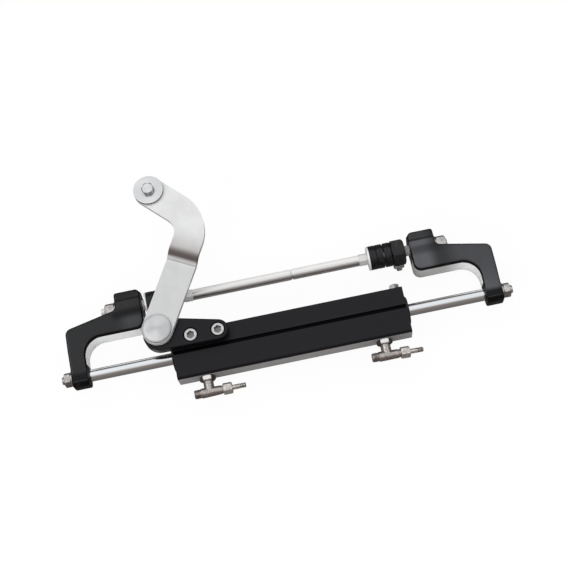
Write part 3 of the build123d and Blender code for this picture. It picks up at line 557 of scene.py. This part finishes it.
spacer_radius = highest("left_spacer_rings", "z")
spacer_bore = 8.15
spacer_width = 10.4
washer_width = 2.6
face_gap = 0.1
moulded, shader, start, place = new_finish("black moulded ring", "black_ring", (0.014, 0.0135, 0.015), 0.42)
shader.inputs["Specular IOR Level"].default_value = 0.4
lathe = grain(start, place, 0.8, 3.0, (0.5, 20, 20))
scuffs = grain(start, place, 5.0, 6.0)
connect(shader,
        Roughness=0.22 + 0.2 * scuffs,
        Base_Color=scuffs.above(0.5, 0.8).blend((0.008, 0.0078, 0.009), (0.03, 0.029, 0.031)),
        Normal=relief(start, lathe, 0.01))
pale, shader, start, place = new_finish("turned washer", "stainless_fastener", (0.88, 0.875, 0.87), 0.3, 0.3)
turning = grain(start, place, 0.6, 3.0)
connect(shader,
        Roughness=0.25 + 0.1 * turning,
        Base_Color=turning.blend((0.84, 0.835, 0.83), (0.93, 0.925, 0.92)))


def thin_washer(start):
    """A plain washer on the tilt rod from start, a little thinner than its room."""
    return along_x(washer(spacer_radius, spacer_bore, start, start + washer_width - face_gap, 0.4))


def thick_ring(start):
    """A black ring on the tilt rod from start, a little narrower at both ends than its room."""
    return along_x(washer(spacer_radius, spacer_bore, start + face_gap, start + spacer_width - face_gap, 1.0))


left_stack = lowest("left_spacer_washers", "x")
left_rings = left_stack + washer_width
skin("left_washer_pair", [thin_washer(left_stack), thin_washer(left_rings + 3 * spacer_width + face_gap)],
     pale, "left_spacers", ["left_spacer_washers"])
skin("left_ring_stack", [thick_ring(left_rings + i * spacer_width) for i in range(3)],
     moulded, "left_spacers", ["left_spacer_rings"])
right_stack = lowest("right_spacer_washer", "x")
skin("right_washer", [thin_washer(right_stack)], pale, "right_spacers", ["right_spacer_washer"])
right_rings = right_stack + washer_width - face_gap
skin("right_ring_pair", [thick_ring(right_rings + i * spacer_width) for i in range(2)],
     moulded, "right_spacers", ["right_spacer_rings"])
outer_ring = lowest("outer_spacer_ring", "x") - face_gap
skin("outer_ring", [thick_ring(outer_ring)], moulded, "outer_spacer", ["outer_spacer_ring"])


# Adjusting nut: a large black nut that takes up the play of the spacers, held by a
# short bright bolt in one of its flats, whose end stands out of its hexagon.

adjuster_flats = 2 * highest("adjusting_nut", "z")
adjuster_start = lowest("adjusting_nut", "x")
adjuster_end = highest("adjusting_nut", "x")
adjuster_bore = 8.0
lock_x = centre("adjusting_nut_bolt", "x")
lock_lean = math.radians(30)
lock_flats = 15.0
lock_head = 5.3
lock_shank = 4
lock_depth = 6
lock_end = 9.0
skin("adjusting_nut_body",
     [along_x(hexagon(adjuster_flats, adjuster_start, adjuster_end, adjuster_bore, turn=corner_up))],
     moulded, "adjuster", ["adjusting_nut"])


def facing_y(rows, x, y, z, sign):
    """Rows made round +Z, set at (x, y, z) with their height towards sign times +Y."""
    return np.stack([x + rows[..., 0], y + sign * rows[..., 2], z + rows[..., 1]], -1)


def leaned(rows, lean):
    """Rows turned round the tilt rod's axis: y = y cos a - z sin a, z = y sin a + z cos a."""
    y, z = rows[..., 1], rows[..., 2]
    return np.stack([rows[..., 0], y * math.cos(lean) - z * math.sin(lean),
                     y * math.sin(lean) + z * math.cos(lean)], -1)


lock_flat = adjuster_flats / 2
lock_bolt = [hexagon(lock_flats, lock_flat, lock_flat + lock_head, 0.0),
             turned(rounded([(0, lock_flat - lock_depth), (lock_shank, lock_flat - lock_depth),
                             (lock_shank, lock_flat + lock_end), (0, lock_flat + lock_end)], 0.8))]
skin("adjusting_nut_lock_bolt", [leaned(facing_y(rows, lock_x, 0, 0, -1), lock_lean) for rows in lock_bolt],
     bright, "adjuster", ["adjusting_nut_bolt"])


# Piston rod: a hard-chromed bar, ground to a mirror, that runs through the cylinder
# from arm to arm, with threaded ends; the piston on it is hidden in the bore.

rod_radius = highest("piston_rod", "z")
rod_middle = highest("piston", "x")
rod_shoulder = leg_face
rod_end = highest("piston_rod", "x")
rod_thread = {"pitch": 1.25, "depth": 0.7}
chrome, shader, start, place = new_finish("hard chrome", "ground_rod", (0.78, 0.785, 0.79), 0.1, 1.0)
wipes = grain(start, place, 4.0, 4.0, (14, 1, 1))
connect(shader,
        Roughness=0.12 + 0.08 * wipes,
        Base_Color=wipes.blend((0.9, 0.905, 0.915), (0.96, 0.965, 0.975)))
right_end = np.concatenate([
    turned(rounded([(rod_radius, rod_middle), (rod_radius, rod_shoulder), (rod_stub, rod_shoulder)], 0.6)),
    threaded(rod_stub, rod_shoulder, rod_end - 0.3, **rod_thread),
    turned([(rod_stub - 1, rod_end), (0, rod_end)])])
left_end = right_end[::-1] * np.array([1.0, 1.0, -1.0])
skin("piston_rod_bar", [along_x(np.concatenate([left_end, right_end]), rod_axis)],
     chrome, "carrier", ["piston_rod"])
turned_metal, shader, start, place = new_finish(
    "turned aluminium", "piston_metal", (0.6, 0.6, 0.61), 0.3, 1.0)
cuts = grain(start, place, 0.6, 2.0, (0.5, 12, 12))
connect(shader, Roughness=0.25 + 0.15 * cuts, Normal=relief(start, cuts, 0.008))
paint([node["piston"]], turned_metal)
paint([node["piston_snap_rings"]], bright)
seal, shader, start, place = new_finish("seal rubber", "seal_rubber", (0.014, 0.014, 0.014), 0.6)
bloom = grain(start, place, 2.0, 4.0)
connect(shader, Roughness=0.5 + 0.2 * bloom, Base_Color=bloom.blend((0.01, 0.01, 0.01), (0.03, 0.03, 0.03)))
paint([node[name] for name in ("piston_seal", "rod_seals", "rod_wipers", "gland_o_rings")], seal)


# Cylinder body: an extruded aluminium block, black anodised, with a groove along its
# top, a wide flat front that takes the oil ports, and a round belly under the bore.

front_face = lowest("cylinder_body", "y")
groove_half = 2.8

# Black all over, with a scratched front flat painted lighter grey as a painted reflection of the floor, and a
# groove that stays dark, made a black mirror as painted shade.
anodised, shader, start, place = new_finish("black anodising", "black_casting", (0.0125, 0.012, 0.0145), 0.3)
shader.inputs["Specular IOR Level"].default_value = 0.28
along, up = place.parts()[1:]
draw_lines = grain(start, place, 0.5, 3.0, (200, 1, 1))
cloud = grain(start, place, 25.0, 4.0, (3, 1, 1))
scratched = grain(start, place, 0.7, 5.0, (60, 1, 1))
front_flat = 1 - along.above(front_face + 0.02, front_face + 0.1)
off_groove = abs(along - rod_axis).above(groove_half - 0.05, groove_half + 0.1)
groove = (1 - off_groove) * (1 - up.above(23.2, 23.9))
painted_reflection_front = scratched.blend((0.1, 0.094, 0.094), (0.34, 0.325, 0.325))
tint = front_flat.blend(cloud.blend((0.003, 0.0028, 0.0042), (0.006, 0.0056, 0.0075)), painted_reflection_front)
connect(shader,
        Base_Color=groove.blend(tint, (0.004, 0.004, 0.004)),
        Metallic=groove,
        Roughness=0.26 + 0.08 * cloud + 0.06 * draw_lines + 0.14 * front_flat,
        Normal=relief(start, draw_lines, 0.004))
paint([node["cylinder_body"]], anodised)


# Glands: black turned rings screwed into both ends of the body, each locked by a
# bright hexagon screw with a collar, set into the body's back wall.

body_left = lowest("cylinder_body", "x")
body_right = highest("cylinder_body", "x")
back_face = highest("cylinder_body", "y")
port_height = centre("port_adapters", "z")
gland_lock_inset = 9.5
gland_lock_depth = 12
gland_lock_shank = 4
gland_lock_flats = 13.0
gland_lock_top = highest("gland_lock_screws", "y") - back_face
collar = 8.5
collar_height = 1.5
paint([node["left_gland"], node["right_gland"]], moulded)
gland_lock = [
    turned(rounded([(0, -gland_lock_depth), (gland_lock_shank, -gland_lock_depth),
                    (gland_lock_shank, 0), (collar, 0), (collar, collar_height - 0.6),
                    (collar - 0.6, collar_height), (0, collar_height)], 0.3)),
    hexagon(gland_lock_flats, collar_height, gland_lock_top, 0.0)]
skin("gland_lock_screw_pair",
     [facing_y(rows, x, back_face, port_height, 1) for rows in gland_lock
      for x in (body_left + gland_lock_inset, body_right - gland_lock_inset)],
     bright, "cylinder", ["gland_lock_screws"])


# Oil fittings: on each port a hexagon adapter, a forged tee with a threaded hose end,
# and a bleed screw with a barbed tip, all of nickel-plated brass.

port_inset = 41.0
left_port = body_left + port_inset
right_port = body_right - port_inset
ports = (left_port, right_port)
adapter_flats = highest("port_adapters", "z") - lowest("port_adapters", "z")
adapter_height = 7.0
adapter_neck = 4.5
adapter_reach = 12
port_thread = 6.5
port_thread_depth = 11
stem_reach = 23.0
stem_radius = 7.2
stem_waist = 6.6
stem_taper_start = 17.0
run_radius = 7.1
run_end_radius = 5.8
run_taper_start = 16
run_y = front_face - stem_reach
hose_side = 22.0
hose_bore = 3.5
hose_bore_depth = 8
hose_radius = 6.7
hose_core = 6.0
hose_thread = {"pitch": 1.4, "depth": 0.8}
hose_thread_length = 9
bleed_side = 18.8
bleed_flats = 15.0
bleed_hexagon = 13.5
bleed_spigot = 4.5
bleed_spigot_depth = 8
bleed_socket = 3.0
nipple_radius = 3.5
nipple_length = 10.2
bleed_bore = 1.25
barb_radius = 3.9
barb_root = 2.8
barb_pitch = 2.3
barb_count = 4
bleed_start = bleed_side + face_gap
barbs_start = bleed_start + bleed_hexagon + nipple_length
nickel, shader, start, place = new_finish("nickel-plated brass", "nickel_brass", (0.5, 0.465, 0.44), 0.3, 1.0)
forged = grain(start, place, 0.9, 5.0)
tarnish = grain(start, place, 2.4, 5.0)
connect(shader,
        Base_Color=tarnish.above(0.3, 0.7).blend((0.38, 0.33, 0.3), (0.72, 0.67, 0.64)),
        Roughness=0.2 + 0.2 * tarnish,
        Normal=relief(start, forged, 0.03))

# Spotty nickel, with painted shade on the adapters' flanks and in the grooves between the barbs.
polished, shader, start, place = new_finish("polished adapter", "nickel_brass", (0.72, 0.7, 0.68), 0.14, 0.9)
across, along = place.parts()[:2]
handled = grain(start, place, 3.0, 5.0)
off_port = abs(across - left_port).least(abs(across - right_port))
near_body = along.above(front_face - 8.0, front_face - 7.4)
barb_step = start.math("FRACT", (off_port - barbs_start) * (1 / barb_pitch))
barb_groove = barb_step.above(0.45, 0.7) * off_port.above(barbs_start - 0.1, barbs_start + 0.1)
shadowed = off_port.above(5.6, 6.3) * near_body + 0.85 * barb_groove
handled_tone = handled.above(0.3, 0.7).blend((0.5, 0.45, 0.41), (0.86, 0.82, 0.78))
tone = near_body.blend(handled_tone, (0.93, 0.9, 0.875))
connect(shader,
        Roughness=0.08 + 0.16 * handled,
        Base_Color=shadowed.blend(tone, (0.13, 0.12, 0.115)))
adapter = [hexagon(adapter_flats, 0, adapter_height, 0.0, turn=corner_up),
           turned(rounded([(0, -port_thread_depth), (port_thread, -port_thread_depth),
                           (port_thread, 0.2)], 0.4)),
           turned([(adapter_neck, adapter_height - 0.1), (adapter_neck, adapter_reach), (0, adapter_reach)])]
skin("port_adapter_pair",
     [facing_y(rows, x, front_face, port_height, -1) for rows in adapter for x in ports],
     polished, "cylinder", ["port_adapters"])


def lifted(rows, x, lift):
    """Rows turned round the stem's line at x, so that the end towards -X goes up."""
    across, up = rows[..., 0] - x, rows[..., 2] - port_height
    return np.stack([x + across * math.cos(lift) + up * math.sin(lift), rows[..., 1],
                     port_height + up * math.cos(lift) - across * math.sin(lift)], -1)


def tee_rows(x):
    """Run of the tee with its thread and hose bore, and the stem that joins it."""
    start, end = x - hose_side, x + bleed_side
    thread_end = start + hose_thread_length
    mouth = [(0, start + hose_bore_depth), (hose_bore, start + hose_bore_depth), (hose_bore, start),
             (hose_core - 0.4, start), (hose_core, start + 0.4)]
    body = [(hose_core, thread_end), (run_radius, thread_end + 0.8), (run_radius, start + run_taper_start),
            (run_end_radius + 0.6, end - 3.2), (run_end_radius, end - 2), (run_end_radius, end), (0, end)]
    run = np.concatenate([
        turned(rounded(mouth, 0.2)),
        threaded(hose_radius, start + 0.4, thread_end, **hose_thread, steps=10),
        turned(rounded(body, 0.6))])
    stem = turned(rounded([(0, adapter_height), (stem_waist, adapter_height),
                           (stem_radius, adapter_height + 0.8), (stem_radius, stem_taper_start),
                           (stem_waist, stem_reach), (0, stem_reach)], 0.8))
    return [along_x(run, run_y, port_height), facing_y(stem, x, front_face, port_height, -1)]


def bleed_rows(x):
    """Bleed screw: spigot, hexagon, nipple and a tip with rings like a fir cone."""
    start = x + bleed_start
    tip = x + barbs_start
    outline = [(0, start - bleed_spigot_depth), (bleed_spigot, start - bleed_spigot_depth),
               (bleed_spigot, start + 1), (nipple_radius, start + 1), (nipple_radius, tip)]
    for foot in tip + barb_pitch * np.arange(barb_count):
        outline += [(barb_radius, foot + 0.2), (barb_root, foot + barb_pitch)]
    outline += [(bleed_bore, tip + barb_count * barb_pitch), (bleed_bore, start + 2), (0, start + 2)]
    return [along_x(turned(rounded(outline, 0.25, 3)), run_y, port_height),
            along_x(hexagon(bleed_flats, start, start + bleed_hexagon, bleed_socket, turn=corner_up),
                    run_y, port_height)]


right_lift = math.radians(5.5)
for side_name, x, lift in (("left", left_port, 0.0), ("right", right_port, right_lift)):
    skin(side_name + "_tee_body", [lifted(rows, x, lift) for rows in tee_rows(x)],
         nickel, "cylinder", [side_name + "_tee"])
    skin(side_name + "_bleed_fitting", [lifted(rows, x, lift) for rows in bleed_rows(x)],
         polished, side_name + "_bleed", [side_name + "_bleed_screw"])


# Lug plate: a tapered plate of black anodised aluminium on the body's back strip, held by
# two socket-head screws sunk in it, which carries the link arm past the body's end.

head_top = highest("lug_screws", "z")
head_height = 10
head_radius = 9
screw_radius = 6
screw_tip = lowest("lug_screws", "z")
socket_flats = 10.0
socket_rim = 5.9
socket_floor = head_top - 6.0
screw_row = centre("lug_screws", "y")
screw_places = (-133.6, -94.4)
paint([node["lug_plate"]], anodised)


def socket_screw(x, y):
    """Screw from its tip to its head, with a hexagon socket sunk in the head."""
    outer = turned(rounded([(0, screw_tip), (screw_radius - 1, screw_tip), (screw_radius, screw_tip + 1),
                            (screw_radius, head_top - head_height), (head_radius, head_top - head_height),
                            (head_radius, head_top), (socket_rim, head_top)], 0.7))
    columns = outer.shape[1]
    angle = np.linspace(0, 2 * np.pi, columns, endpoint=False)
    flat = to_flat(socket_flats, angle)
    wall = np.stack([np.stack([flat * np.cos(angle), flat * np.sin(angle), np.full(columns, z)], -1)
                     for z in (head_top - 0.3, socket_floor)])
    drilled = turned([(3.0, socket_floor), (0, socket_floor - 1.0)], columns)
    return np.concatenate([outer, wall, drilled]) + np.array([x, y, 0.0])


sunk, shader, start, place = new_finish(
    "socket screw steel", "stainless_fastener", (0.66, 0.65, 0.64), 0.3, 1.0)
up = place.parts()[2]
grime = grain(start, place, 1.5, 4.0)
# The socket inside each head is painted darker: painted shade, mottled with grime.
inside = 1 - (up + grime).above(head_top - 0.6, head_top + 0.1)
outside_tone = grime.blend((0.6, 0.59, 0.58), (0.74, 0.73, 0.72))
socket_shade_and_grime_tone = grime.blend((0.06, 0.055, 0.05), (0.6, 0.59, 0.57))
connect(shader,
        Base_Color=inside.blend(outside_tone, socket_shade_and_grime_tone),
        Roughness=0.24 + 0.16 * grime + 0.2 * inside)
skin("lug_screw_pair", [socket_screw(x, screw_row) for x in screw_places],
     sunk, "cylinder", ["lug_screws"])


# Pivot pin: a stainless pin screwed into the lug plate, with a wide shallow domed
# head that was turned on a lathe, over a thin plastic washer and bush.

def lathe_marks(start, place, middle, fineness):
    """Offsets and distance from a turned piece's axis, and noise that changes with distance alone."""
    offset = start.add("VectorMath", {"operation": "SUBTRACT"}, {0: place, 1: (*middle, 0.0)}).parts()
    distance = (offset[0] * offset[0] + offset[1] * offset[1]).root()
    swirl = start.add("CombineXYZ", {}, {0: distance * fineness, 1: 0.0, 2: offset[2] * 0.4})
    return offset, distance, start.add("TexNoise", {}, {"Vector": swirl, "Scale": 1.0, "Detail": 4.0})


def axis_of(name):
    """x and y of a joint's upright axis, in millimetres to a hundredth."""
    point = next(row["pos_m"] for row in frame["joints"] if row["name"] == name)
    return tuple(round(1000 * v, 2) for v in point[:2])


pivot = axis_of("link_pivot")
pin_low = lowest("pivot_pin", "z")
pin_thread = 7
pin_radius = 8
thread_top = 40
head_under = 49.1
head_edge = 21
rim_top = 52.2
rim_inner = 19.3
dome_edge = 18.6
dome_foot = 52.5
dome_rise = highest("pivot_pin", "z") - dome_foot
satin, shader, start, place = new_finish(
    "lathe-turned satin", "stainless_fastener", (0.74, 0.735, 0.73), 0.3, 1.0)
shader.inputs["Anisotropic"].default_value = 0.7
offset, distance, rings = lathe_marks(start, place, pivot, 2.2)
# A bow-tie fan of lighter sectors round the axis is a painted sheen; the rings over it are turning marks.
painted_sheen_fan = start.math("COSINE", start.math("ARCTAN2", offset[1], offset[0]) * 2.0 - 2.2) * 0.5 + 0.5
painted_sheen_and_rings = painted_sheen_fan.above(0.2, 1.0) * distance.above(1.0, 6.0) * 0.8 + 0.25 * rings
connect(shader,
        Roughness=0.24 + 0.14 * rings,
        Base_Color=painted_sheen_and_rings.blend((0.63, 0.63, 0.63), (0.77, 0.765, 0.76)),
        Normal=relief(start, rings, 0.03))
inward = np.linspace(0, 1, 14)[1:]
dome = np.stack([dome_edge * (1 - inward), dome_foot + dome_rise * (1 - (1 - inward) ** 2)], 1)
pin = rounded([(0, pin_low), (pin_thread - 1, pin_low), (pin_thread, pin_low + 1),
               (pin_thread, thread_top), (pin_radius, thread_top), (pin_radius, head_under),
               (head_edge, head_under), (head_edge, rim_top - 1), (head_edge - 0.8, rim_top),
               (rim_inner, rim_top), (dome_edge + 0.2, rim_top - 0.4), (dome_edge, dome_foot)], 0.3)
skin("pivot_pin_body", [turned(np.vstack([pin, dome]), 90) + np.array([*pivot, 0.0])],
     satin, "cylinder", ["pivot_pin"])
plastic, shader, start, place = new_finish("bearing plastic", "bearing_plastic", (0.03, 0.03, 0.032), 0.5)
speckle = grain(start, place, 0.6, 4.0)
connect(shader,
        Roughness=0.45 + 0.15 * speckle,
        Base_Color=speckle.blend((0.025, 0.025, 0.027), (0.045, 0.045, 0.048)))
paint([node[name] for name in ("pivot_thrust_washer", "pivot_bush", "tiller_bush")], plastic)


# Link arm: flat stainless bar, cut to a bend and stepped up between two folds, with a
# blasted satin face; it joins the cylinder's lug to the motor's tiller.

bar_turn = math.radians(61.3)
bar_way = (math.cos(bar_turn), math.sin(bar_turn), 0.0)

# Pale blasted face, painted darker on the lower end and past the upper fold as painted shade, with the folds
# painted as dark lines of shade, and warmer towards the elbow side.
steel, shader, start, place = new_finish(
    "blasted stainless", "satin_stainless", (0.8, 0.795, 0.79), 0.36, 0.5)
along_bar = (start.add("VectorMath", {"operation": "DOT_PRODUCT"}, {0: place, 1: bar_way}, "Value")
             - (pivot[0] * bar_way[0] + pivot[1] * bar_way[1]))
lower_end = 1 - along_bar.above(90.0, 118.0)
low_fold = along_bar.between(102.5, 103.5, 103.8, 105.0)
upper_fold = along_bar.between(106.0, 111.0, 114.0, 125.0)
near_fold = along_bar.between(112.0, 118.0, 118.0, 150.0)
elbow_side = place.parts()[0].above(-95.0, -60.0) * along_bar.above(118.0, 150.0)
blast = grain(start, place, 0.35, 3.0)
rub = grain(start, place, 24.0, 5.0)
streaks = grain(start, place, 0.8, 4.0, (1, 40, 1))
bar_tone_with_painted_shade = rub.above(0.3, 0.7).blend((0.76, 0.755, 0.75), (0.84, 0.835, 0.83))
bar_tone_with_painted_shade = (0.38 * lower_end).blend(bar_tone_with_painted_shade, (0.42, 0.42, 0.42))
bar_tone_with_painted_shade = (0.6 * near_fold).blend(bar_tone_with_painted_shade, (0.34, 0.3, 0.29))
bar_tone_with_painted_shade = (0.5 * elbow_side).blend(bar_tone_with_painted_shade, (0.78, 0.73, 0.69))
bar_tone_with_painted_shade = (0.95 * upper_fold + 0.4 * low_fold).blend(bar_tone_with_painted_shade, (0.1, 0.075, 0.07))
connect(shader,
        Base_Color=bar_tone_with_painted_shade,
        Roughness=0.3 + 0.1 * rub + 0.06 * streaks,
        Normal=relief(start, blast, 0.006))
paint([node["link_arm"]], steel)


# Tiller bolt: stainless hexagon bolt and wide washer on the link arm's free end, with a washer
# and lock nut below that clamp the motor's steering arm.

tiller = axis_of("tiller_pivot")
tiller_shift = np.array([*tiller, 0.0])
washer_low = lowest("tiller_washer", "z")
washer_top = highest("tiller_washer", "z")
wide_radius = (highest("tiller_washer", "x") - lowest("tiller_washer", "x")) / 2
bolt_radius = 5.0
bolt_core = 4.2
bolt_thread = {"pitch": 1.5, "depth": 0.75}
bolt_low = lowest("tiller_bolt", "z")
bolt_high = highest("tiller_bolt", "z")
bolt_thread_top = 31.0
bolt_flats = 16.0
bolt_turn = math.radians(24)
low_washer = lowest("tiller_low_washer", "z")
low_washer_radius = 10.0
nut_low = 22.0
nut_collar = 7.5
collar_low = lowest("tiller_lock_nut", "z")
wide, shader, start, place = new_finish("faced washer", "stainless_fastener", (0.74, 0.735, 0.73), 0.3, 1.0)
shader.inputs["Anisotropic"].default_value = 0.6
offset, distance, rings = lathe_marks(start, place, tiller, 2.6)
# The washer's outer edge and the bolt head's flanks are painted dark: painted shade.
head_flank = distance.above(7.7, 8.3) * offset[2].above(washer_top + 0.1, washer_top + 0.4)
rim = distance.above(wide_radius - 0.25, wide_radius - 0.05) + 0.75 * head_flank
faced_tone = rings.blend((0.8, 0.795, 0.79), (0.92, 0.915, 0.91))
connect(shader,
        Roughness=0.26 + 0.16 * rings,
        Base_Color=rim.blend(faced_tone, (0.16, 0.155, 0.15)),
        Normal=relief(start, rings, 0.03))
skin("tiller_wide_washer", [washer(wide_radius, bolt_radius, washer_low, washer_top, 0.5) + tiller_shift],
     wide, "tiller_fastener", ["tiller_washer"])
shank = np.concatenate([
    turned([(0, bolt_low), (bolt_core, bolt_low)]),
    threaded(bolt_radius, bolt_low + 0.2, bolt_thread_top, **bolt_thread),
    turned(rounded([(bolt_core + 0.1, bolt_thread_top), (bolt_radius, bolt_thread_top + 0.5),
                    (bolt_radius, washer_top + 3), (0, washer_top + 3)], 0.3))])
head = hexagon(bolt_flats, washer_top, bolt_high, 0.0, turn=bolt_turn)
skin("tiller_bolt_body", [shank + tiller_shift, head + tiller_shift],
     wide, "tiller_fastener", ["tiller_bolt"])
skin("tiller_low_washer_body",
     [washer(low_washer_radius, bolt_radius, low_washer, low_washer + 2.0) + tiller_shift],
     bright, "tiller_fastener", ["tiller_low_washer"])
lock_nut = [hexagon(bolt_flats, nut_low, low_washer, bolt_radius),
            washer(nut_collar, bolt_radius, collar_low, nut_low + 0.3, 0.6)]
skin("tiller_lock_nut_body", [rows + tiller_shift for rows in lock_nut],
     bright, "tiller_fastener", ["tiller_lock_nut"])
